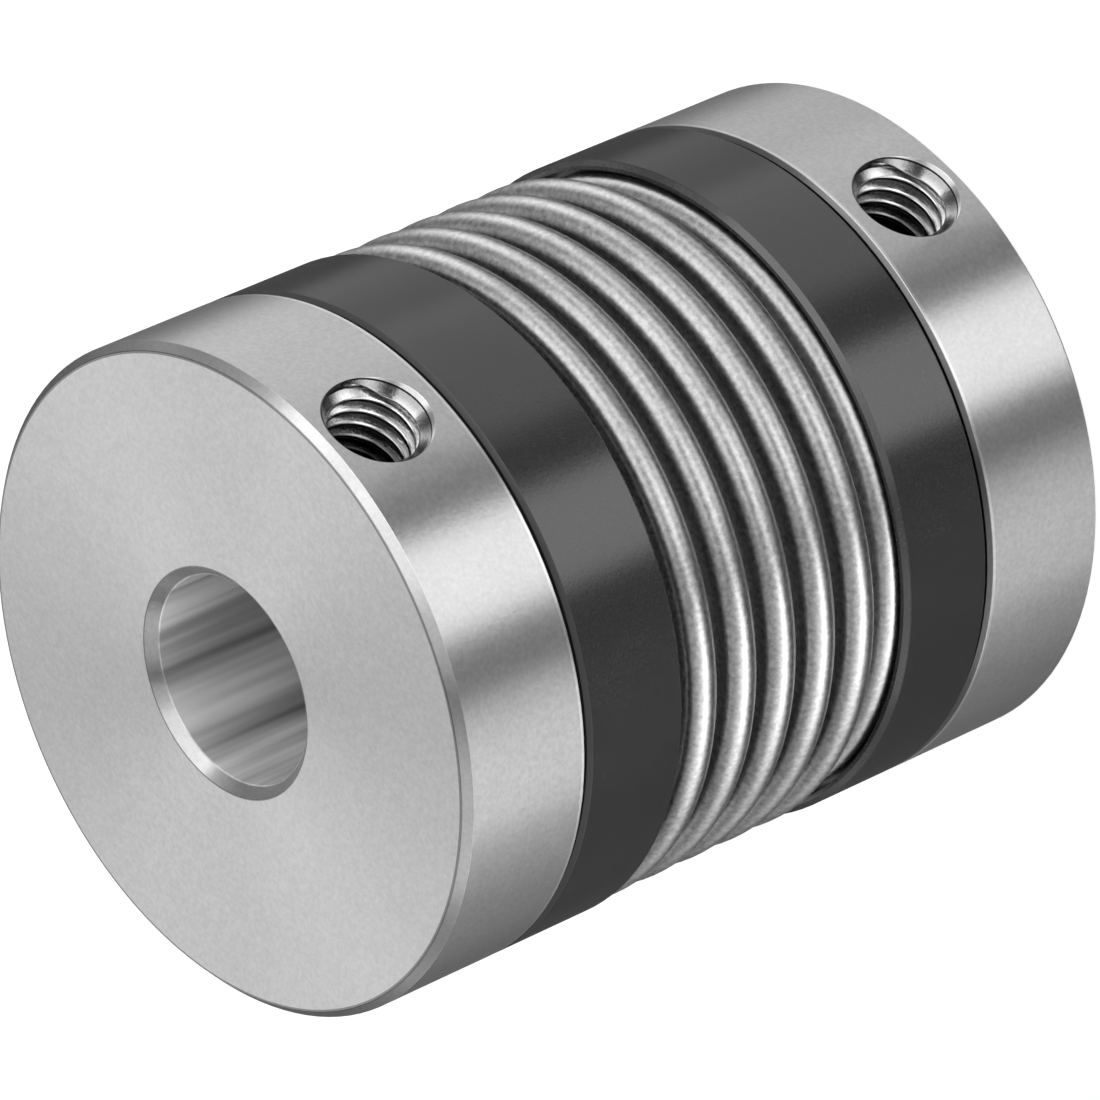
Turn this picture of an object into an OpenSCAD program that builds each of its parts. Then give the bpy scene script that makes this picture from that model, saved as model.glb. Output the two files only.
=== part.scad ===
// Metal bellows shaft coupling.
// Two bored hubs are joined by a thin stainless bellows, which turns with the shafts
// and bends a little when they are out of line. Each end collar of the bellows sits on
// a hub's neck, and a black clamp ring holds it there.
// Millimetres. The axis is Z, and the coupling stands on its lower hub's end face at z = 0.

/* [Hubs] */
// Outer diameter of the hubs and the clamp rings
body_d = 32; // [31:0.5:40]
// Length of a hub's full-diameter disc
disc_len = 7.2; // [6.6:0.1:10]
// Chamfer round a hub's end face
end_chamfer = 0.4; // [0.2:0.05:0.6]
// Chamfer on each of the two edges that meet at the seam of disc and clamp ring
seam_chamfer = 0.2; // [0.1:0.05:0.4]

/* [Shaft bores] */
// Diameter of the shaft bore in each hub
bore_d = 10; // [6:0.5:12]
// Chamfer at the mouth of a bore
bore_chamfer = 0.5; // [0.2:0.05:0.8]

/* [Bellows] */
// Number of full-height crests
crest_count = 5; // [3:1:8]
// Distance from one crest to the next
crest_pitch = 2.45; // [2.2:0.05:3]
// Outer width of one crest
crest_w = 1.75; // [1.4:0.05:1.8]
// Thickness of the bellows sheet
sheet_t = 0.2; // [0.1:0.05:0.25]
// Inner diameter of the bellows at its roots and its end collars
root_d = 21.5; // [18:0.5:24]
// How far the full crests lie inside the outer diameter of the body
crest_inset = 0.15; // [0.05:0.05:1]
// How much lower the crest at each end is than the full crests
end_crest_drop = 0.55; // [0.5:0.05:1.2]

/* [Clamp rings] */
// Length of the lower clamp ring
ring_len = 5.15; // [4.8:0.05:8]
// How much longer the upper clamp ring is, so that it reaches over the end crest
upper_ring_extra = 0.65; // [0:0.05:0.8]
// Depth of the lower end crest's middle behind the front face of the lower clamp ring
end_sink = 0.1; // [0.05:0.05:0.8]
// Chamfer round the front edge of a clamp ring
front_chamfer = 0.25; // [0.1:0.05:0.4]

/* [Set screws] */
// Thread diameter of a set screw
thread_d = 5; // [3:0.5:5]
// Length of a set screw
screw_len = 6; // [5:0.5:8]
// Distance of a tapped hole's axis from the hub's end face
hole_from_end = 3.5; // [3.3:0.1:3.8]
// Width of the countersink round a tapped hole's mouth
countersink_w = 0.2; // [0.1:0.05:0.4]
// Width across the flats of a set screw's hexagon socket
socket_af = 2.5; // [1.5:0.5:2.5]
// Depth of a set screw's hexagon socket
socket_depth = 2.4; // [1.5:0.1:3]
// Chamfer at both ends of a set screw
screw_chamfer = 0.4; // [0.2:0.05:0.5]
// Diameter of the hollow in a set screw's cup point
cup_d = 2; // [1:0.1:2]

/* [Fits] */
// Radial gap of each glued fit: neck in collar, and collar in clamp ring
bond_gap = 0.03; // [0.01:0.01:0.05]
// Gap between a hub's disc and the ends of its clamp ring and collar
seam_gap = 0.15; // [0.05:0.05:0.3]
// Gap between an end crest and the recess in its clamp ring
recess_gap = 0.25; // [0.15:0.05:0.4]
// Radial gap between a set screw and its hole
thread_gap = 0.05; // [0.02:0.01:0.1]
// Distance from a set screw's point back to the wall of the bore
tip_setback = 0.3; // [0.1:0.1:1]

/* [Hidden] */
$fn = 128;

body_r = body_d / 2;
bore_r = bore_d / 2;
root_r = root_d / 2;
collar_r = root_r + sheet_t;
crest_r = body_r - crest_inset;
end_crest_r = crest_r - end_crest_drop;

// Half widths of the crests and of the valleys between them, measured outside the bellows
crest_half = crest_w / 2;
valley_half = crest_pitch / 2 - crest_half;
// Radius of the root bends' centres, and the radius where crests and roots meet
root_centre_r = root_r + sheet_t + valley_half;
meet_r = (root_centre_r + end_crest_r - crest_half) / 2;
// Length by which the straight walls of a crest and a root run into each other
wall_lap = 0.1;

// Heights above the lower end face
ring_start_z = disc_len + seam_gap;
ring_front_z = ring_start_z + ring_len;
end_crest_z = ring_front_z - end_sink;
end_root_z = end_crest_z - crest_pitch / 2;
recess_floor_z = end_root_z - recess_gap;
total_len = 2 * end_crest_z + (crest_count + 1) * crest_pitch;

neck_r = root_r - bond_gap;
neck_end_z = end_root_z;
neck_chamfer = 0.3;
ring_bore_r = collar_r + bond_gap;
recess_r = end_crest_r + recess_gap;

hole_r = thread_d / 2;
screw_r = hole_r - thread_gap;
screw_tip_r = bore_r + tip_setback;
screw_top_r = screw_tip_r + screw_len;
// Extra length that takes a cut clear of a surface
past = 1;

// Puts a piece that is drawn for the lower end at the upper end
module at_upper_end() {
    translate([0, 0, total_len]) mirror([0, 0, 1]) children();
}

// Draws a piece along the axis of the set screws, which points out of the hub towards -Y
module along_set_screw() {
    translate([0, 0, hole_from_end]) rotate([90, 0, 0]) children();
}

// Half section of a hub: the disc below, the neck above, and the bore with its chamfers
module hub_section() {
    polygon([
        [bore_r + bore_chamfer, 0],
        [body_r - end_chamfer, 0],
        [body_r, end_chamfer],
        [body_r, disc_len - seam_chamfer],
        [body_r - seam_chamfer, disc_len],
        [neck_r, disc_len],
        [neck_r, neck_end_z - neck_chamfer],
        [neck_r - neck_chamfer, neck_end_z],
        [bore_r + neck_chamfer, neck_end_z],
        [bore_r, neck_end_z - neck_chamfer],
        [bore_r, bore_chamfer]
    ]);
}

// Tapped hole at its full thread diameter, with its countersink, from the axis outwards
module tapped_hole() {
    along_set_screw() {
        cylinder(h = body_r + past, r = hole_r);
        translate([0, 0, body_r - countersink_w])
            cylinder(h = countersink_w + past, r1 = hole_r, r2 = hole_r + countersink_w + past);
    }
}

module hub() {
    color("silver") difference() {
        rotate_extrude() hub_section();
        tapped_hole();
    }
}

// Half section of a clamp ring: a bore that grips the collar, and a recess for the end crest.
// front_z is the height of its front face.
module ring_section(front_z) {
    polygon([
        [ring_bore_r, ring_start_z],
        [body_r - seam_chamfer, ring_start_z],
        [body_r, ring_start_z + seam_chamfer],
        [body_r, front_z - front_chamfer],
        [body_r - front_chamfer, front_z],
        [recess_r, front_z],
        [recess_r, recess_floor_z],
        [ring_bore_r, recess_floor_z]
    ]);
}

module clamp_ring(front_z) {
    color("dimgray") rotate_extrude() ring_section(front_z);
}

// Section of one bend of the sheet, a half circle with two straight walls towards -X.
// outside_r is the bend's outer radius and wall_len the length of its walls.
module bend_section(outside_r, wall_len) {
    inside_r = outside_r - sheet_t;
    difference() {
        union() {
            circle(r = outside_r);
            translate([-wall_len, -outside_r]) square([wall_len, 2 * outside_r]);
        }
        circle(r = inside_r);
        translate([-wall_len - past, -inside_r]) square([wall_len + past, 2 * inside_r]);
    }
}

// Crest whose top lies at radius top_r
module crest_section(top_r) {
    centre_r = top_r - crest_half;
    translate([centre_r, 0]) bend_section(crest_half, centre_r - meet_r + wall_lap);
}

// Root between two crests, which opens outwards
module root_section() {
    translate([root_centre_r, 0]) mirror([1, 0])
        bend_section(valley_half + sheet_t, meet_r - root_centre_r + wall_lap);
}

// Quarter bend at the lower end, which turns from the last wall into the collar
module end_root_section() {
    intersection() {
        root_section();
        translate([root_r, 0]) square([meet_r + wall_lap - root_r, crest_pitch / 2]);
    }
}

module collar_section() {
    translate([root_r, ring_start_z]) square([sheet_t, end_root_z - ring_start_z]);
}

// Collar, end bend and end crest of the lower end
module bellows_end_section() {
    collar_section();
    translate([0, end_root_z]) end_root_section();
    translate([0, end_crest_z]) crest_section(end_crest_r);
}

// Half section of the whole bellows, at its height above the lower end face
module bellows_section() {
    bellows_end_section();
    translate([0, total_len]) mirror([0, 1]) bellows_end_section();
    for (i = [1 : crest_count])
        translate([0, end_crest_z + i * crest_pitch]) crest_section(crest_r);
    for (i = [0 : crest_count])
        translate([0, end_crest_z + (i + 0.5) * crest_pitch]) root_section();
}

module bellows() {
    color("lightsteelblue") rotate_extrude() bellows_section();
}

// Set screw with a hexagon socket outside and a cup point towards the bore
module set_screw() {
    color("dimgray") along_set_screw() difference() {
        rotate_extrude() polygon([
            [0, screw_tip_r],
            [screw_r - screw_chamfer, screw_tip_r],
            [screw_r, screw_tip_r + screw_chamfer],
            [screw_r, screw_top_r - screw_chamfer],
            [screw_r - screw_chamfer, screw_top_r],
            [0, screw_top_r]
        ]);
        translate([0, 0, screw_top_r - socket_depth])
            cylinder(h = socket_depth + past, d = socket_af / cos(30), $fn = 6);
        translate([0, 0, screw_tip_r]) cylinder(h = cup_d / 2, d1 = cup_d, d2 = 0);
    }
}

module upper_hub() { at_upper_end() hub(); }
module upper_clamp_ring() { at_upper_end() clamp_ring(ring_front_z + upper_ring_extra); }
module lower_clamp_ring() { clamp_ring(ring_front_z); }
module lower_hub() { hub(); }
module upper_set_screw() { at_upper_end() set_screw(); }
module lower_set_screw() { set_screw(); }

upper_hub();
upper_clamp_ring();
bellows();
lower_clamp_ring();
lower_hub();
upper_set_screw();
lower_set_screw();
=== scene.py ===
# %% [markdown]
# A metal bellows shaft coupling, rebuilt for a product picture.
# Two turned aluminium hubs are joined by a thin corrugated steel tube, the bellows.
# A black anodised ring clamps each end of the bellows onto its hub, and a set screw
# in each hub grips the shaft.
# The solid model comes in as a fixed frame, in metres, standing on its lower end face
# with its axis along Z. This script adds the screw threads, the finishes, the studio
# and the camera.

# %% Load the solid model
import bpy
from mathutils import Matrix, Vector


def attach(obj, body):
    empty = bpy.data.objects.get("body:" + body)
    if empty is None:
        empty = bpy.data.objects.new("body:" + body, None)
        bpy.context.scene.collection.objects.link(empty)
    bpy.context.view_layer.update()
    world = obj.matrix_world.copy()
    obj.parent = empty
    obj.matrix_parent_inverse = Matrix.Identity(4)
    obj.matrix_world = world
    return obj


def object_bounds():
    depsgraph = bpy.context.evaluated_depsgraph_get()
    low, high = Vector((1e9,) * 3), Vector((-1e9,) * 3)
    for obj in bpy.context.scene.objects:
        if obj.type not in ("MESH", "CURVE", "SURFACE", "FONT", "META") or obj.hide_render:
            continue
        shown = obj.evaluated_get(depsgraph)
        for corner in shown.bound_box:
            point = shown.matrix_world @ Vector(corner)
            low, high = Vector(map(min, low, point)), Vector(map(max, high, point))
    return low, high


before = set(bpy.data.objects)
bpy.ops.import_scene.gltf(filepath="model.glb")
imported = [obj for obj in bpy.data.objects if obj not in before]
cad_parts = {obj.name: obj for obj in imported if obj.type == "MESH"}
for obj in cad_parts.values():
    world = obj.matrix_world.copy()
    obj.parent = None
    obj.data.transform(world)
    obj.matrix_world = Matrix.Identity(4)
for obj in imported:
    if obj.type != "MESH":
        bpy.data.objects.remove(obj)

solid_low, solid_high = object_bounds()
print("nodes:", sorted(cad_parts))
print("solid box, mm:", [round(1000 * c, 2) for c in (*solid_low, *solid_high)])

# %% [markdown]
# Blender counts in metres, but a coupling is drawn in millimetres. So the sizes of the
# coupling are written in millimetres here, and MM turns them into metres where Blender
# needs them. Distances in the studio stay in metres. The Standard view transform shows
# each grey as bright as it is written, while the usual one would soften the whites.

# %% Tools and units
import math

import bpy
import numpy as np
from mathutils import Matrix, Vector

MM = 0.001
scene = bpy.context.scene
scene.view_settings.view_transform = "Standard"
print("view transform:", scene.view_settings.view_transform)

# %% [markdown]
# The camera stands where the photographer stood: above and in front of the upper end
# face, far away with a long lens, so that the coupling shows almost no perspective.
# The picture is turned until the upright axis runs from lower left to upper right.
# An azimuth, an elevation and a roll say all that in three angles. Euler angles typed
# straight into the camera would work too, but nobody could read them.

# %% Camera
CAMERA_AZIMUTH = -29.947
CAMERA_ELEVATION = 36.934
CAMERA_ROLL = -113.645
CAMERA_DISTANCE = 0.49062
CAMERA_AIM = Vector((-0.28, 0.23, 19.83)) * MM
LENS_MM = 351.06
SENSOR_MM = 36


def direction(azimuth, elevation):
    """Unit vector towards a place in the studio: azimuth 0 is -Y and 90 is +X."""
    a, e = math.radians(azimuth), math.radians(elevation)
    return Vector((math.sin(a) * math.cos(e), -math.cos(a) * math.cos(e), math.sin(e)))


camera = bpy.data.objects.new("camera", bpy.data.cameras.new("camera"))
scene.collection.objects.link(camera)
scene.camera = camera
camera.data.lens = LENS_MM
camera.data.sensor_width = SENSOR_MM
camera.data.clip_start = 0.05
camera.data.clip_end = 20
towards_camera = direction(CAMERA_AZIMUTH, CAMERA_ELEVATION)
level = (-towards_camera).to_track_quat("-Z", "Y").to_matrix().to_4x4()
roll = Matrix.Rotation(math.radians(CAMERA_ROLL), 4, "Z")
stand = Matrix.Translation(CAMERA_AIM + CAMERA_DISTANCE * towards_camera)
camera.matrix_world = stand @ level @ roll
print("camera at, mm:", [round(1000 * c, 1) for c in camera.matrix_world.translation])

# %% [markdown]
# Light and finishes below are small programs of nodes. Four helpers keep them short:
# node adds a node and fills its sockets, feed links or sets one socket, maths does
# arithmetic, and soft_step turns a value into a soft step between two limits. Such
# programs could be drawn by hand in the shader editor, but a script can be read, and
# it makes them again at any time.


# %% Helpers for node programs
def node(tree, kind, inputs=(), **settings):
    """Adds a node. inputs maps a socket's name or number to a plain value or a socket."""
    made = tree.nodes.new(kind)
    for name, value in settings.items():
        setattr(made, name, value)
    for key, value in dict(inputs).items():
        feed(tree, made.inputs[key], value)
    return made


def feed(tree, socket, value):
    """Links a socket to another one, or gives it a plain value."""
    if isinstance(value, bpy.types.NodeSocket):
        tree.links.new(value, socket)
    else:
        socket.default_value = value


def maths(tree, operation, *values):
    """Result of a Math node that is fed with sockets or plain numbers."""
    return node(tree, "ShaderNodeMath", enumerate(values), operation=operation).outputs[0]


def soft_step(tree, value, start, end, low=0.0, high=1.0):
    """Goes smoothly from low to high while value goes from start to end."""
    made = node(tree, "ShaderNodeMapRange",
                {"Value": value, "From Min": start, "From Max": end,
                 "To Min": low, "To Max": high}, interpolation_type="SMOOTHSTEP")
    return made.outputs["Result"]


print("helpers:", [helper.__name__ for helper in (node, feed, maths, soft_step)])

# %% [markdown]
# Polished metal has hardly a colour of its own: it shows the studio. A turned side
# spreads the whole circle of the studio over its half circle, so each soft panel and
# each dark gap becomes a straight band along the axis. The camera looks down, so the
# side mirrors what is below the horizon. For that, mirrored rays pass through the
# floor and meet panels that belong to the studio's background. Real lamp objects in
# their place would need a dozen cards under the floor.
# A panel is given by its angle round the axis, by its elevation, by its half width and
# half height, and by the softness of its border, all in degrees. Angle 0 is the
# camera's side, and negative angles are on the side of the tapped holes, which is the
# top of the turned picture.

# %% Studio panels
# angle, half width, elevation, half height, border, brightness
PANELS = [
    (-1, 17, -36, 13, 4, 1.50),    # low, on the camera's side
    (4, 20, 5, 15, 5, 2.10),       # at the horizon, on the camera's side
    (-66, 28, -41, 8, 7, 0.86),    # from low to level, on the side of the tapped holes
    (-112, 23, -22, 13, 8, 0.85),
    (-97, 27, -6, 14, 8, 1.35),
    (-44, 24, 3, 11, 6, 1.65),
    (57, 22, -11, 12, 4, 2.90),    # about level, on the other side
    (72, 27, 4, 24, 6, 1.15),
    (104, 28, -6, 18, 8, 0.65),
    (84, 35, 50, 22, 12, 0.50),    # raised, one on each side
    (-98, 23, 55, 20, 9, 1.05),
    (180, 46, 35, 20, 11, 0.90),   # large one behind, which the end face mirrors
    (180, 14, -53, 3, 3, 1.30),    # small low one behind
    (10, 22, 56, 9, 4, 1.30),      # higher than the camera, on its side
]
HEIGHT_BORDER = 8


def soft_panel(tree, angle, elevation, panel):
    """Brightness of one panel, for sockets of angle and elevation.

    The border is soft by its own softness across, and by HEIGHT_BORDER more in height.
    """
    centre, half_width, height, half_height, border, brightness = panel
    aside = maths(tree, "WRAP", maths(tree, "SUBTRACT", angle, centre), -180.0, 180.0)
    across = soft_step(tree, maths(tree, "ABSOLUTE", aside),
                       half_width + border, half_width - border, 0.0, brightness)
    upwards = maths(tree, "SUBTRACT", elevation, height)
    border = border + HEIGHT_BORDER
    along = soft_step(tree, maths(tree, "ABSOLUTE", upwards),
                      half_height + border, half_height - border)
    return maths(tree, "MULTIPLY", across, along)


print("studio panels:", len(PANELS), "brightest:", max(panel[-1] for panel in PANELS))

# %% [markdown]
# The panels hang in the world's background. Its nodes turn the direction of a ray into
# an angle and an elevation, and add the panels to a dim grey that gets dimmer towards
# the ground. A painted panorama could show the same studio, but none of its panels
# could be moved by changing a number. The panels are wide and soft, so bounced rays
# find them without Blender's map of bright places, and that map is off. Only the
# camera sees plain white instead.

# %% Studio background
DIM = 0.10
DIM_BELOW = -50
DIM_ABOVE = -30

world = bpy.data.worlds.new("studio")
scene.world = world
world.use_nodes = True
world.cycles.sampling_method = "NONE"
tree = world.node_tree
tree.nodes.clear()
outlook = node(tree, "ShaderNodeTexCoord").outputs["Generated"]
turned = node(tree, "ShaderNodeVectorRotate",
              {"Vector": outlook, "Angle": math.radians(90 - CAMERA_AZIMUTH)},
              rotation_type="Z_AXIS").outputs["Vector"]
parts = node(tree, "ShaderNodeSeparateXYZ", {"Vector": turned}).outputs
sideways = maths(tree, "MULTIPLY", parts["Y"], -1.0)
angle = maths(tree, "DEGREES", maths(tree, "ARCTAN2", sideways, parts["X"]))
elevation = maths(tree, "DEGREES", maths(tree, "ARCSINE", parts["Z"]))
brightness = soft_step(tree, elevation, DIM_BELOW, DIM_ABOVE, 0.5 * DIM, DIM)
for panel in PANELS:
    brightness = maths(tree, "ADD", brightness, soft_panel(tree, angle, elevation, panel))
studio = node(tree, "ShaderNodeCombineColor",
              {0: brightness, 1: brightness, 2: brightness}).outputs[0]
lit = node(tree, "ShaderNodeBackground", {"Color": studio, "Strength": 1.0}).outputs[0]
white = node(tree, "ShaderNodeBackground", {"Color": (1, 1, 1, 1)}).outputs[0]
seen = node(tree, "ShaderNodeLightPath").outputs["Is Camera Ray"]
shown = node(tree, "ShaderNodeMixShader", {0: seen, 1: lit, 2: white}).outputs[0]
node(tree, "ShaderNodeOutputWorld", {"Surface": shown})
print("world nodes:", len(tree.nodes))

# %% [markdown]
# One large softbox hangs high on the side of the tapped holes. It draws the white line
# on the end face's chamfer and the soft light on the near flank of each crest, and it
# casts the one soft shadow on the floor. A small bare lamp would give the shadow a hard
# edge and each crest a glaring line.

# %% Softbox
KEY_DISTANCE = 0.4
KEY_SIZE = 0.36
KEY_POWER = 0.68
KEY_AZIMUTH = CAMERA_AZIMUTH + 48
KEY_ELEVATION = 50

key = bpy.data.objects.new("softbox", bpy.data.lights.new("softbox", "AREA"))
scene.collection.objects.link(key)
key.data.shape = "SQUARE"
key.data.size = KEY_SIZE
key.data.energy = KEY_POWER
key_direction = direction(KEY_AZIMUTH, KEY_ELEVATION)
key.location = CAMERA_AIM + KEY_DISTANCE * key_direction
key.rotation_euler = key_direction.to_track_quat("Z", "Y").to_euler()
key.visible_camera = False
print("softbox at, mm:", [round(1000 * c) for c in key.location])

# %% [markdown]
# The floor is a plain white table top. The camera sees a white glow of its own, with
# half of the light that falls on it added, so the floor comes out white and keeps a
# soft shadow. A brighter lamp could whiten it too, but it would bleach the coupling.
# Mirrored rays pass through the floor to the panels of the studio background.

# %% Floor
FLOOR_HALF = 3.0
TABLE_GLOW = 0.80

corners = [(-FLOOR_HALF, -FLOOR_HALF, 0), (FLOOR_HALF, -FLOOR_HALF, 0),
           (FLOOR_HALF, FLOOR_HALF, 0), (-FLOOR_HALF, FLOOR_HALF, 0)]
floor_mesh = bpy.data.meshes.new("floor")
floor_mesh.from_pydata(corners, [], [(0, 1, 2, 3)])
floor = bpy.data.objects.new("floor", floor_mesh)
scene.collection.objects.link(floor)

white_table = bpy.data.materials.new("white_table")
white_table.use_nodes = True
tree = white_table.node_tree
tree.nodes.clear()
path = node(tree, "ShaderNodeLightPath").outputs
glow = node(tree, "ShaderNodeEmission", {"Color": (1, 1, 1, 1), "Strength": TABLE_GLOW})
half_lit = node(tree, "ShaderNodeBsdfDiffuse", {"Color": (0.5, 0.5, 0.5, 1)})
all_lit = node(tree, "ShaderNodeBsdfDiffuse", {"Color": (0.85, 0.85, 0.85, 1)})
to_camera = node(tree, "ShaderNodeAddShader", {0: half_lit.outputs[0], 1: glow.outputs[0]})
table = node(tree, "ShaderNodeMixShader",
             {0: path["Is Camera Ray"], 1: all_lit.outputs[0], 2: to_camera.outputs[0]})
gap = node(tree, "ShaderNodeBsdfTransparent")
surface = node(tree, "ShaderNodeMixShader",
               {0: path["Is Glossy Ray"], 1: table.outputs[0], 2: gap.outputs[0]})
node(tree, "ShaderNodeOutputMaterial", {"Surface": surface.outputs[0]})
floor_mesh.materials.append(white_table)
print("floor, m:", 2 * FLOOR_HALF, "square")

# %% [markdown]
# All parts are turned on a lathe, so every finish is best described by the distance
# from the axis and by the height. A node group measures both in millimetres, which
# keeps the numbers in the finishes the same as on a workshop drawing. The two ends are
# alike, so the height counts from the middle, and one limit serves both. A third value
# is the distance from the axis of the tapped hole at that end. Painted masks could mark
# the same places, but each piece would need a map of its surface for them.

# %% Node group: place on a turned part
BODY_RADIUS = solid_high[0] / MM
MIDDLE_HEIGHT = (solid_low[2] + solid_high[2]) / 2 / MM
HOLE_FROM_END = 3.5
HOLE_FROM_MIDDLE = MIDDLE_HEIGHT - HOLE_FROM_END


def new_group(name, inputs, outputs):
    """Makes a node group of numbers. Returns it, what it is given and what it puts out."""
    group = bpy.data.node_groups.new(name, "ShaderNodeTree")
    for label, value in inputs.items():
        socket = group.interface.new_socket(label, in_out="INPUT", socket_type="NodeSocketFloat")
        socket.default_value = value
    for label in outputs:
        group.interface.new_socket(label, in_out="OUTPUT", socket_type="NodeSocketFloat")
    print("node group:", name, "->", outputs)
    return group, group.nodes.new("NodeGroupInput").outputs, group.nodes.new("NodeGroupOutput").inputs


def added(tree, first, share, second):
    """first + share * second, for sockets or plain numbers."""
    return maths(tree, "MULTIPLY_ADD", second, share, first)


def hypotenuse(tree, first, second):
    """Square root of first squared plus second squared."""
    squares = added(tree, maths(tree, "MULTIPLY", first, first), second, second)
    return maths(tree, "SQRT", squares)


turned_place, _, out = new_group("turned_place", {}, ["Radius", "From middle", "From hole"])
tree = turned_place
spot = node(tree, "ShaderNodeTexCoord").outputs["Object"]
spot_mm = node(tree, "ShaderNodeVectorMath", {0: spot, "Scale": 1 / MM}, operation="SCALE")
x, y, z = node(tree, "ShaderNodeSeparateXYZ", {"Vector": spot_mm.outputs[0]}).outputs
from_middle = maths(tree, "ABSOLUTE", maths(tree, "SUBTRACT", z, MIDDLE_HEIGHT))
above_hole = maths(tree, "SUBTRACT", from_middle, HOLE_FROM_MIDDLE)
# The holes open towards -Y, so a place behind the axis counts as far from them
behind = maths(tree, "GREATER_THAN", y, 0.0)
from_hole = added(tree, hypotenuse(tree, x, above_hole), BODY_RADIUS, behind)
feed(tree, out["Radius"], hypotenuse(tree, x, y))
feed(tree, out["From middle"], from_middle)
feed(tree, out["From hole"], from_hole)

# %% [markdown]
# Edges are the first place where a finish wears: they are touched, knocked and wiped.
# On the hubs and rings the edges are small chamfers just inside the outer radius, so
# the radius alone finds them. Geometry's Pointiness finds edges too, but it changes
# with the size of the mesh's triangles. Noise breaks the worn line up.

# %% Node group: worn edges
END_CHAMFER = 0.4


def use(tree, group, inputs=()):
    """Places a node group in a node tree and returns its outputs."""
    return node(tree, "ShaderNodeGroup", inputs, node_tree=group).outputs


worn_edges, _, out = new_group("worn_edges", {}, ["Wear"])
tree = worn_edges
radius = use(tree, turned_place)["Radius"]
edge_start = BODY_RADIUS - END_CHAMFER
past_start = soft_step(tree, radius, edge_start - 0.10, edge_start + 0.02)
below_side = soft_step(tree, radius, BODY_RADIUS - 0.015, BODY_RADIUS - 0.06)
spot = node(tree, "ShaderNodeTexCoord").outputs["Object"]
patches = node(tree, "ShaderNodeTexNoise", {"Vector": spot, "Scale": 350.0, "Detail": 3.0})
broken = soft_step(tree, patches.outputs[0], 0.38, 0.62, 0.45, 1.0)
edge = maths(tree, "MULTIPLY", below_side, past_start)
feed(tree, out["Wear"], maths(tree, "MULTIPLY", edge, broken))

# %% [markdown]
# Handling leaves a few hair scratches. Drawn one by one they would be curves on the
# surface. Noise along one slanted direction, cut off near its peaks, gives them all at
# once as rare straight hairs, and broad noise breaks them into short pieces.

# %% Node group: hair scratches
ACROSS_HAIRS = (0.55, 0.35, 0.76)
HAIR_ROWS_PER_METRE = 9000.0

hair_scratches, given, out = new_group("hair_scratches", {"Share": 0.3}, ["Scratch"])
tree = hair_scratches
spot = node(tree, "ShaderNodeTexCoord").outputs["Object"]
across = node(tree, "ShaderNodeVectorMath", {0: spot, 1: ACROSS_HAIRS},
              operation="DOT_PRODUCT").outputs["Value"]
rows = node(tree, "ShaderNodeTexNoise",
            {"W": across, "Scale": HAIR_ROWS_PER_METRE, "Detail": 0.0}, noise_dimensions="1D")
hair = soft_step(tree, rows.outputs[0], 0.74, 0.80)
patches = node(tree, "ShaderNodeTexNoise", {"Vector": spot, "Scale": 260.0, "Detail": 2.0})
limit = added(tree, 0.72, -0.5, given["Share"])
let_through = soft_step(tree, maths(tree, "SUBTRACT", patches.outputs[0], limit), 0.0, 0.06)
feed(tree, out["Scratch"], maths(tree, "MULTIPLY", hair, let_through))

# %% [markdown]
# A blasted or etched metal surface is not one grey. Seen close, it is a fine mottle of
# slightly lighter and darker grains, about a fifth of a millimetre wide here. A photo
# of such metal would repeat and show its seams. Noise in two sizes doesn't, and it is
# centred on zero, so that it only varies what it is added to.

# %% Node group: fine grain
CLOUD_TO_GRAIN = 12.0

fine_grain, given, out = new_group("fine_grain", {"Grain mm": 0.2}, ["Grain", "Cloud"])
tree = fine_grain
spot = node(tree, "ShaderNodeTexCoord").outputs["Object"]
grain_scale = maths(tree, "DIVIDE", 1 / MM, given["Grain mm"])
grain = node(tree, "ShaderNodeTexNoise",
             {"Vector": spot, "Scale": grain_scale, "Detail": 2.0, "Roughness": 0.6})
cloud_scale = maths(tree, "DIVIDE", grain_scale, CLOUD_TO_GRAIN)
cloud = node(tree, "ShaderNodeTexNoise",
             {"Vector": spot, "Scale": cloud_scale, "Detail": 3.0, "Roughness": 0.5})
feed(tree, out["Grain"], maths(tree, "SUBTRACT", grain.outputs[0], 0.5))
feed(tree, out["Cloud"], maths(tree, "SUBTRACT", cloud.outputs[0], 0.5))

# %% [markdown]
# The tool of the lathe leaves fine rings round the axis. Grooves cut into the mesh would
# need millions of triangles. Here they are noise that changes only with the distance
# from the axis and with the height, never with the angle.

# %% Node group: turning lines
turning_lines, given, out = new_group("turning_lines", {"Line mm": 0.05}, ["Lines"])
tree = turning_lines
where = use(tree, turned_place)
section = node(tree, "ShaderNodeCombineXYZ", {"X": where["Radius"], "Y": where["From middle"]})
per_mm = maths(tree, "DIVIDE", 1.0, given["Line mm"])
lines = node(tree, "ShaderNodeTexNoise", {"Vector": section.outputs[0], "Scale": per_mm,
                                          "Detail": 3.0, "Roughness": 0.7})
feed(tree, out["Lines"], maths(tree, "SUBTRACT", lines.outputs[0], 0.5))

# %% [markdown]
# A reamed bore mirrors its surroundings as streaks along the axis, light and dark by turns round the
# wall, and here these are painted reflections. They are noise that is stretched along the axis: it
# changes fast round the wall and hardly with the height. A row of thin dark strips would look drawn,
# not reamed.

# %% Node group: painted reflection streaks in the bore
STREAKS_PER_METRE = (420.0, 420.0, 16.0)

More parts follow.
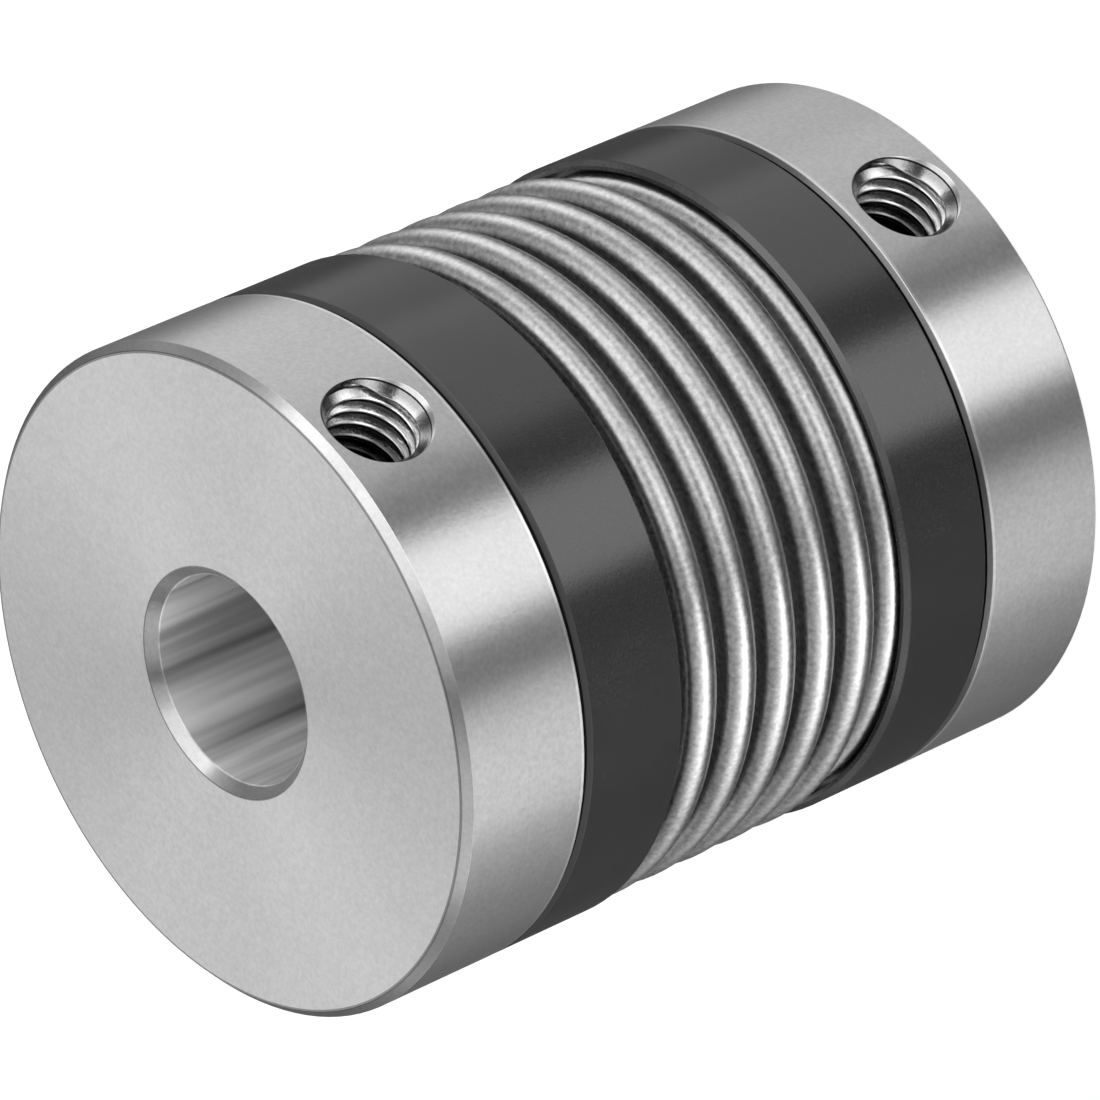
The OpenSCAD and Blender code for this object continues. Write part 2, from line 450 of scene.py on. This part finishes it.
bore_reflection_streaks, _, out = new_group("bore_reflection_streaks", {}, ["Streak"])
tree = bore_reflection_streaks
spot = node(tree, "ShaderNodeTexCoord").outputs["Object"]
stretched = node(tree, "ShaderNodeMapping", {"Vector": spot, "Scale": STREAKS_PER_METRE})
# Painted reflections of the bore's surroundings, as streaks
reflection_streak = node(tree, "ShaderNodeTexNoise", {"Vector": stretched.outputs[0], "Scale": 1.0,
                                           "Detail": 3.0, "Roughness": 0.65})
feed(tree, out["Streak"], maths(tree, "SUBTRACT", reflection_streak.outputs[0], 0.5))

# %% [markdown]
# Each finish is one material with one Principled shader, which knows both metal and
# paint. These helpers make it and feed it: a grey from one number, a bump, a mix of two
# colours, a darker shade inside a mask, and a mask for a thin line.


# %% Helpers for materials
def new_material(name):
    """An empty node material with one Principled shader: material, node tree, shader."""
    material = bpy.data.materials.new(name)
    material.use_nodes = True
    tree = material.node_tree
    tree.nodes.clear()
    shader = node(tree, "ShaderNodeBsdfPrincipled")
    node(tree, "ShaderNodeOutputMaterial", {"Surface": shader.outputs[0]})
    print("material:", name)
    return material, tree, shader


def grey(tree, value):
    """Turns one number into a neutral grey."""
    return node(tree, "ShaderNodeCombineColor", {0: value, 1: value, 2: value}).outputs[0]


def surface_bump(tree, shader, height, depth_mm):
    """Feeds the shader's Normal with a bump whose height is given in shares of depth_mm."""
    bump = node(tree, "ShaderNodeBump", {"Distance": depth_mm * MM, "Height": height})
    feed(tree, shader.inputs["Normal"], bump.outputs[0])


def over(tree, share, first, second):
    """Mixes two colours: the first where share is 0 and the second where it is 1."""
    made = node(tree, "ShaderNodeMix", {0: share, 6: first, 7: second}, data_type="RGBA")
    return made.outputs[2]


def darkened(tree, shade, mask, share):
    """The shade where the mask is 0, and its share where the mask is 1."""
    return maths(tree, "MULTIPLY", shade, soft_step(tree, mask, 0.0, 1.0, 1.0, share))


def line_at(tree, value, centre, half_width, border):
    """Mask of a line: 1 within half_width of the centre, with a soft border outside."""
    off_centre = maths(tree, "ABSOLUTE", maths(tree, "SUBTRACT", value, centre))
    return soft_step(tree, off_centre, half_width + border, half_width)


HELPERS = (new_material, grey, surface_bump, over, darkened, line_at)
print("helpers:", [helper.__name__ for helper in HELPERS])

# %% [markdown]
# The hubs are turned from aluminium and then finely blasted. One material serves the
# whole hub, and the distances tell its areas apart. A material for each area could do
# that too, but its limits would follow the triangles, while a mask can be soft.
# The areas are the wall of the bore, the side, the two chamfers of the end face with a thin painted
# dark line where each meets the face, the wall of the tapped hole, and the seam towards the ring,
# which gets painted shade, with a painted highlight line beside it.

# %% Aluminium of the hubs: areas
BORE_RADIUS = 5.0
BORE_CHAMFER = 0.5
HOLE_RADIUS = 2.5
DISC_LENGTH = 7.2
SEAM_CHAMFER = 0.2
SEAM_FROM_MIDDLE = MIDDLE_HEIGHT - DISC_LENGTH

aluminium, tree, shader = new_material("hub_aluminium_finish")
where = use(tree, turned_place)
radius = where["Radius"]
in_bore = soft_step(tree, radius, BORE_RADIUS + 0.06, BORE_RADIUS + 0.02)
mouth = BORE_RADIUS + BORE_CHAMFER
in_mouth = soft_step(tree, radius, mouth + 0.03, mouth - 0.01)
rim = BODY_RADIUS - END_CHAMFER
past_rim = soft_step(tree, radius, rim - 0.02, rim + 0.02)
on_side = soft_step(tree, radius, BODY_RADIUS - 0.03, BODY_RADIUS - 0.01)
cut_edge = maths(tree, "MAXIMUM", maths(tree, "SUBTRACT", in_mouth, in_bore),
                 maths(tree, "SUBTRACT", past_rim, on_side))
# Painted shade: a thin dark line where each chamfer meets the face
painted_edge_line = maths(tree, "MAXIMUM", line_at(tree, radius, rim - 0.03, 0.05, 0.03),
                  line_at(tree, radius, mouth + 0.02, 0.02, 0.03))
# Painted shade: the wall of the tapped hole
by_hole = soft_step(tree, where["From hole"], HOLE_RADIUS + 0.03, HOLE_RADIUS + 0.005)
shaded_hole_wall = maths(tree, "MULTIPLY", by_hole, maths(tree, "SUBTRACT", 1.0, in_bore))
from_seam = maths(tree, "SUBTRACT", where["From middle"], SEAM_FROM_MIDDLE)
# Painted shade in the seam towards the ring, and a painted highlight line on the side beside it
shaded_hub_seam = soft_step(tree, from_seam, SEAM_CHAMFER + 0.02, SEAM_CHAMFER - 0.06)
seam_highlight = line_at(tree, from_seam, SEAM_CHAMFER + 0.07, 0.05, 0.05)
print("areas of a hub, mm: bore mouth", mouth, "rim", round(rim, 3))

# %% [markdown]
# The colour is a mid grey that grain, turning lines and wear vary a little. The chamfers are cut
# after the blasting and look darker, with a thin painted dark line at their start. The walls of the
# tapped holes get a painted shade that makes them nearly black, and painted shade darkens the seam,
# with a painted highlight line on the side beside it. Light that bounces about in the bore makes its
# wall look milky rather than like a mirror, so there a matt grey stands in for that bounced light,
# with painted reflections as axial streaks.

# %% Aluminium of the hubs: colour
HUB_GREY = 0.72
BORE_BOUNCE_GREY = 0.62

grain = use(tree, fine_grain, {"Grain mm": 0.22})
lines = use(tree, turning_lines, {"Line mm": 0.06})["Lines"]
wear = use(tree, worn_edges)["Wear"]
reflection_streak = use(tree, bore_reflection_streaks)["Streak"]
shade = added(tree, HUB_GREY, 0.26, grain["Grain"])
shade = added(tree, shade, 0.05, lines)
shade = added(tree, shade, 0.05, grain["Cloud"])
shade = added(tree, shade, 0.10, wear)
shade = darkened(tree, shade, cut_edge, 0.68)
# Painted shade along the thin edge lines
shade = darkened(tree, shade, painted_edge_line, 0.42)
# Painted shade makes the tapped hole's wall nearly black
shade = darkened(tree, shade, shaded_hole_wall, 0.10)
# Painted shade in the seam, and a painted highlight line beside it
shade = darkened(tree, shade, shaded_hub_seam, 0.30)
shade = added(tree, shade, 0.22, seam_highlight)
# Painted light in the bore: a matt grey for bounced light, with painted reflection streaks
bore_shade = added(tree, BORE_BOUNCE_GREY, 2.6, reflection_streak)
colour = over(tree, in_bore, grey(tree, shade), grey(tree, bore_shade))
feed(tree, shader.inputs["Base Color"], colour)
print("hub grey", HUB_GREY, "bore grey", BORE_BOUNCE_GREY)

# %% [markdown]
# The gloss makes the metal. In the bore the metal gives way to a matt grey. The end
# face is blasted most, the side is smoother, and the cut chamfers are smoothest. The
# turned surface smears highlights along the axis, which Anisotropic does. The side
# stays rougher than about 0.27: below that Blender's denoiser takes it for a mirror,
# and where the grain crosses that limit, dark specks stay in the picture.

# %% Aluminium of the hubs: gloss
FACE_ROUGHNESS = 0.46
SIDE_ROUGHNESS = 0.30
SMEAR_ALONG_AXIS = 0.25

feed(tree, shader.inputs["Metallic"], soft_step(tree, in_bore, 0.0, 1.0, 1.0, 0.15))
roughness = soft_step(tree, on_side, 0.0, 1.0, FACE_ROUGHNESS, SIDE_ROUGHNESS)
roughness = added(tree, roughness, 0.05, grain["Grain"])
roughness = added(tree, roughness, -0.16, cut_edge)
feed(tree, shader.inputs["Roughness"], roughness)
feed(tree, shader.inputs["Anisotropic"], 0.7)
feed(tree, shader.inputs["Anisotropic Rotation"], SMEAR_ALONG_AXIS)
surface_bump(tree, shader, grain["Grain"], 0.003)
print("roughness of the face", FACE_ROUGHNESS, "and of the side", SIDE_ROUGHNESS)

# %% [markdown]
# The thread is cut, not blasted: its flanks are bright, and they mirror the studio more sharply. It
# could share the hub's material, but it has to be smoother, and its grey gets a painted shade that
# darkens it with depth, so that the hole ends in black. Its first turn, which the countersink cuts
# off, is duller.

# %% Cut aluminium of the threads
THREAD_GREY = 0.76
THREAD_ROUGHNESS = 0.16
BLACK_SHADE_RADIUS = 11.8
UNSHADED_RADIUS = 14.2
FIRST_TURN_INSIDE = 15.10
FIRST_TURN_OUTSIDE = 15.65

cut_aluminium, tree, shader = new_material("thread_aluminium_finish")
radius = use(tree, turned_place)["Radius"]
grain = use(tree, fine_grain, {"Grain mm": 0.12})
# Painted shade: darker with depth, nearly black at the bottom of the hole
shade_by_depth = soft_step(tree, radius, BLACK_SHADE_RADIUS, UNSHADED_RADIUS, 0.03, 1.0)
at_mouth = soft_step(tree, radius, FIRST_TURN_OUTSIDE, FIRST_TURN_INSIDE, 0.40, 1.0)
thread_shading = maths(tree, "MULTIPLY", shade_by_depth, at_mouth)
shade = maths(tree, "MULTIPLY", added(tree, THREAD_GREY, 0.3, grain["Grain"]), thread_shading)
feed(tree, shader.inputs["Base Color"], grey(tree, shade))
feed(tree, shader.inputs["Metallic"], 1.0)
feed(tree, shader.inputs["Roughness"], added(tree, THREAD_ROUGHNESS, 0.2, grain["Grain"]))
surface_bump(tree, shader, grain["Grain"], 0.006)

# %% [markdown]
# The clamp rings are black anodised aluminium: a dark, glass-hard skin with a satin gloss. Black
# paint over metal could be a Coat, but the skin is dyed right through, so a dark surface with a high
# index of refraction is enough. Where an edge is worn by rubbing or by scratches, the skin is greyer.
# The chamfer at the seam lies in the dark gap to the hub, and a painted shade darkens it.

# %% Black finish of the clamp rings
RING_GREY = 0.032
RING_ROUGHNESS = 0.20
SEAM_GAP = 0.15

black, tree, shader = new_material("ring_black_finish")
where = use(tree, turned_place)
grain = use(tree, fine_grain, {"Grain mm": 0.16})
lines = use(tree, turning_lines, {"Line mm": 0.08})["Lines"]
wear = use(tree, worn_edges)["Wear"]
scratch = use(tree, hair_scratches, {"Share": 0.22})["Scratch"]
seam_chamfer_start = SEAM_FROM_MIDDLE - SEAM_GAP - SEAM_CHAMFER
# Painted shade on the ring's chamfer at the seam, which lies in the dark gap to the hub
shaded_seam_chamfer = soft_step(tree, where["From middle"],
                    seam_chamfer_start - 0.02, seam_chamfer_start + 0.03)
shade = added(tree, RING_GREY, 0.016, grain["Grain"])
shade = added(tree, shade, 0.008, grain["Cloud"])
shade = added(tree, shade, 0.015, wear)
shade = added(tree, shade, 0.010, scratch)
# Painted shade on the seam chamfer
shade = darkened(tree, shade, shaded_seam_chamfer, 0.25)
feed(tree, shader.inputs["Base Color"], grey(tree, shade))
roughness = added(tree, RING_ROUGHNESS, 0.12, grain["Grain"])
roughness = added(tree, roughness, 0.35, shaded_seam_chamfer)
roughness = added(tree, roughness, 0.10, wear)
roughness = added(tree, roughness, 0.05, scratch)
feed(tree, shader.inputs["Roughness"], roughness)
feed(tree, shader.inputs["IOR"], 1.8)
feed(tree, shader.inputs["Anisotropic"], 0.3)
feed(tree, shader.inputs["Anisotropic Rotation"], SMEAR_ALONG_AXIS)
surface_bump(tree, shader, added(tree, grain["Grain"], 0.3, lines), 0.003)

# %% [markdown]
# The bellows is thin stainless tube, pressed out into crests. Forming stretches the sheet most at the
# crests, which roughens them to a coarse satin grain. In the narrow roots light bounces from wall to
# wall, so they show a milky grey, never a mirror. To trace all those bounces would take long, and a
# lighter, less metallic grey painted into the roots as bounced light looks the same. The flanks get a
# darker painted shade, because they see each other.
# The greys follow the depth below a crest's top. The end crests are lower than the
# others, so their radius is raised first.

# %% Stainless steel of the bellows
CREST_PITCH = 2.45
CREST_RADIUS = 15.85
END_CREST_DROP = 0.55
ROOT_BOUNCE_GREY = 0.58
FLANK_SHADE_GREY = 0.36
TOP_GREY = 0.52
ROOT_ROUGHNESS = 0.50
CREST_ROUGHNESS = 0.36
# Depths below a crest's top, from the bright top past the dark flank to the root
TOP_DEPTH = 0.07
FLANK_START = 0.60
FLANK_END = 0.85
ROOT_DEPTH = 2.65

steel, tree, shader = new_material("bellows_steel_finish")
where = use(tree, turned_place)
grain = use(tree, fine_grain, {"Grain mm": 0.24})
scratch = use(tree, hair_scratches, {"Share": 0.2})["Scratch"]
last_valley = 2.5 * CREST_PITCH
drop = soft_step(tree, where["From middle"], last_valley - 0.025, last_valley + 0.025,
                 0.0, END_CREST_DROP)
below_top = maths(tree, "SUBTRACT", CREST_RADIUS, maths(tree, "ADD", where["Radius"], drop))
# Painted light and shade: a lighter grey in the roots for bounced light, a darker grey on the flanks
# for their shade
root_light_and_flank_shade = soft_step(tree, below_top, ROOT_DEPTH, FLANK_END, ROOT_BOUNCE_GREY, FLANK_SHADE_GREY)
top_shade = soft_step(tree, below_top, FLANK_START, TOP_DEPTH, FLANK_SHADE_GREY, TOP_GREY)
shade = maths(tree, "MAXIMUM", root_light_and_flank_shade, top_shade)
shade = added(tree, shade, 0.55, grain["Grain"])
shade = added(tree, shade, 0.08, grain["Cloud"])
shade = added(tree, shade, -0.05, scratch)
feed(tree, shader.inputs["Base Color"], grey(tree, shade))
at_crest = soft_step(tree, where["Radius"], CREST_RADIUS - 2.25, CREST_RADIUS - 0.55)
feed(tree, shader.inputs["Metallic"], soft_step(tree, at_crest, 0.0, 1.0, 0.30, 1.0))
roughness = soft_step(tree, at_crest, 0.0, 1.0, ROOT_ROUGHNESS, CREST_ROUGHNESS)
feed(tree, shader.inputs["Roughness"], added(tree, roughness, 0.16, grain["Grain"]))
surface_bump(tree, shader, grain["Grain"], 0.005)

# %% [markdown]
# The set screws are steel with a black oxide skin. It is thin and wears to bare steel
# in patches. A hand-painted map could place them where the key turns, but the screws
# sit so deep that noise alone is enough.

# %% Black oxide of the set screws
OXIDE_GREY = 0.07
OXIDE_ROUGHNESS = 0.42

oxide, tree, shader = new_material("screw_steel_finish")
grain = use(tree, fine_grain, {"Grain mm": 0.15})
bare = soft_step(tree, grain["Cloud"], 0.02, 0.18)
shade = added(tree, OXIDE_GREY, 0.05, grain["Grain"])
shade = added(tree, shade, 0.25, bare)
feed(tree, shader.inputs["Base Color"], grey(tree, shade))
feed(tree, shader.inputs["Metallic"], 1.0)
roughness = added(tree, OXIDE_ROUGHNESS, 0.16, grain["Grain"])
feed(tree, shader.inputs["Roughness"], added(tree, roughness, -0.1, bare))
surface_bump(tree, shader, grain["Grain"], 0.004)

# %% [markdown]
# Each solid keeps its mesh and its slots, and gets only another material in the slot.
# The name of each piece ends with the kind of piece that it is, so the name picks the
# finish, and a new hub or ring would get the right one by itself.

# %% Put the finishes on the solids
FINISHES = {"hub": aluminium, "ring": black, "bellows": steel, "screw": oxide}
for name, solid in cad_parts.items():
    kind = next(word for word in FINISHES if name.endswith(word))
    for slot in solid.material_slots:
        slot.material = FINISHES[kind]
    print(name, "->", FINISHES[kind].name)

# %% [markdown]
# Each hub has one M5 tapped hole. The solid only has a plain hole at the thread's full
# diameter, because a helix is far too fine for it. The ridge that stands inwards
# between two turns of the groove is a profile carried along a helix. A Screw modifier
# could wind one too, but it would not end the ridge softly. This one grows out of the
# wall at the mouth and sinks back into it above the set screw, as a real thread runs
# out. Its tooth follows the usual proportions of a metric thread, all from the pitch.

# %% Threads in the tapped holes: the ridge
THREAD_PITCH = 0.8
THREAD_HEIGHT = 5 / 8 * THREAD_PITCH * math.cos(math.radians(30))
FLANK_WIDTH = THREAD_HEIGHT * math.tan(math.radians(30))
TIP_HALF_WIDTH = THREAD_PITCH / 8
FOOT_HALF_WIDTH = TIP_HALF_WIDTH + FLANK_WIDTH
SECTION_HALF_WIDTH = FOOT_HALF_WIDTH + 0.01
FLANK_HOLLOW = 0.10
WALL_LAP = 0.04
# Distances from the coupling's axis, outside to inside
MOUTH = 15.72
OUTER_END = 15.70
INNER_END = 11.2
RUN_IN_TURNS = 0.15
RUN_OUT_TURNS = 0.35
STEPS_PER_TURN = 96
STEPS_ACROSS = 19


def thread_ridge(hole_height):
    """Closed tube along a helix round the hole's axis, in millimetres.

    The rows follow the helix, clockwise into the hole as on every right-handed thread,
    and the columns go round the ridge's section. The section is a 60 degree tooth with
    a flat tip and slightly hollow flanks, and its base lies WALL_LAP inside the wall.
    The tooth's height is multiplied by a factor that goes from 0 to 1 over a short run
    at each end. At the mouth the countersink cuts the ridge off along a cone.
    """
    turns = (OUTER_END - INNER_END) / THREAD_PITCH
    v = np.linspace(0, turns, int(STEPS_PER_TURN * turns) + 1)[:, None]
    across = np.linspace(-SECTION_HALF_WIDTH, SECTION_HALF_WIDTH, STEPS_ACROSS)
    tooth = np.clip((FOOT_HALF_WIDTH - np.abs(across)) / FLANK_WIDTH, 0, 1)
    tooth = THREAD_HEIGHT * (tooth - FLANK_HOLLOW * np.sin(np.pi * tooth) * tooth)
    section_x = np.append(across, (SECTION_HALF_WIDTH, -SECTION_HALF_WIDTH))[None, ::-1]
    section_h = np.append(tooth, (-WALL_LAP, -WALL_LAP))[None, ::-1]
    run = np.clip(np.minimum(v / RUN_IN_TURNS, (turns - v) / RUN_OUT_TURNS), 0, 1)
    run = run * run * (3 - 2 * run)
    height = np.where(section_h > 0, section_h * run, section_h)
    along_hole = OUTER_END - THREAD_PITCH * v + section_x
    along_hole = np.minimum(along_hole, MOUTH - height)
    angle = -2 * np.pi * v
    x = (HOLE_RADIUS - height) * np.cos(angle)
    z = (HOLE_RADIUS - height) * np.sin(angle) + hole_height
    return np.stack([x, -along_hole, z], -1)


def closed_tube(name, grid):
    """Mesh object of a grid whose columns close on themselves, with flat end caps."""
    rows, columns = grid.shape[:2]
    index = np.arange(rows * columns).reshape(rows, columns)
    after = np.roll(index, -1, axis=1)
    quads = np.stack([index[:-1], after[:-1], after[1:], index[1:]], -1).reshape(-1, 4)
    caps = [index[0, ::-1].tolist(), index[-1].tolist()]
    mesh = bpy.data.meshes.new(name)
    mesh.from_pydata(grid.reshape(-1, 3) * MM, [], quads.tolist() + caps)
    mesh.update()
    made = bpy.data.objects.new(name, mesh)
    scene.collection.objects.link(made)
    return made


print("thread tooth, mm: height", round(THREAD_HEIGHT, 3), "flank", round(FLANK_WIDTH, 3))

# %% [markdown]
# The two threads are alike and differ only in height, so a loop makes both. Each rides
# on the coupling's one rigid body, like the hub that it is cut in.

# %% Threads in the tapped holes: the pieces
THREADS = {"lower_hub_thread": MIDDLE_HEIGHT - HOLE_FROM_MIDDLE,
           "upper_hub_thread": MIDDLE_HEIGHT + HOLE_FROM_MIDDLE}
for name, hole_height in THREADS.items():
    ridge = closed_tube(name, thread_ridge(hole_height))
    ridge.data.shade_smooth()
    ridge.data.materials.append(cut_aluminium)
    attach(ridge, "root")
    print(name, "faces", len(ridge.data.polygons))
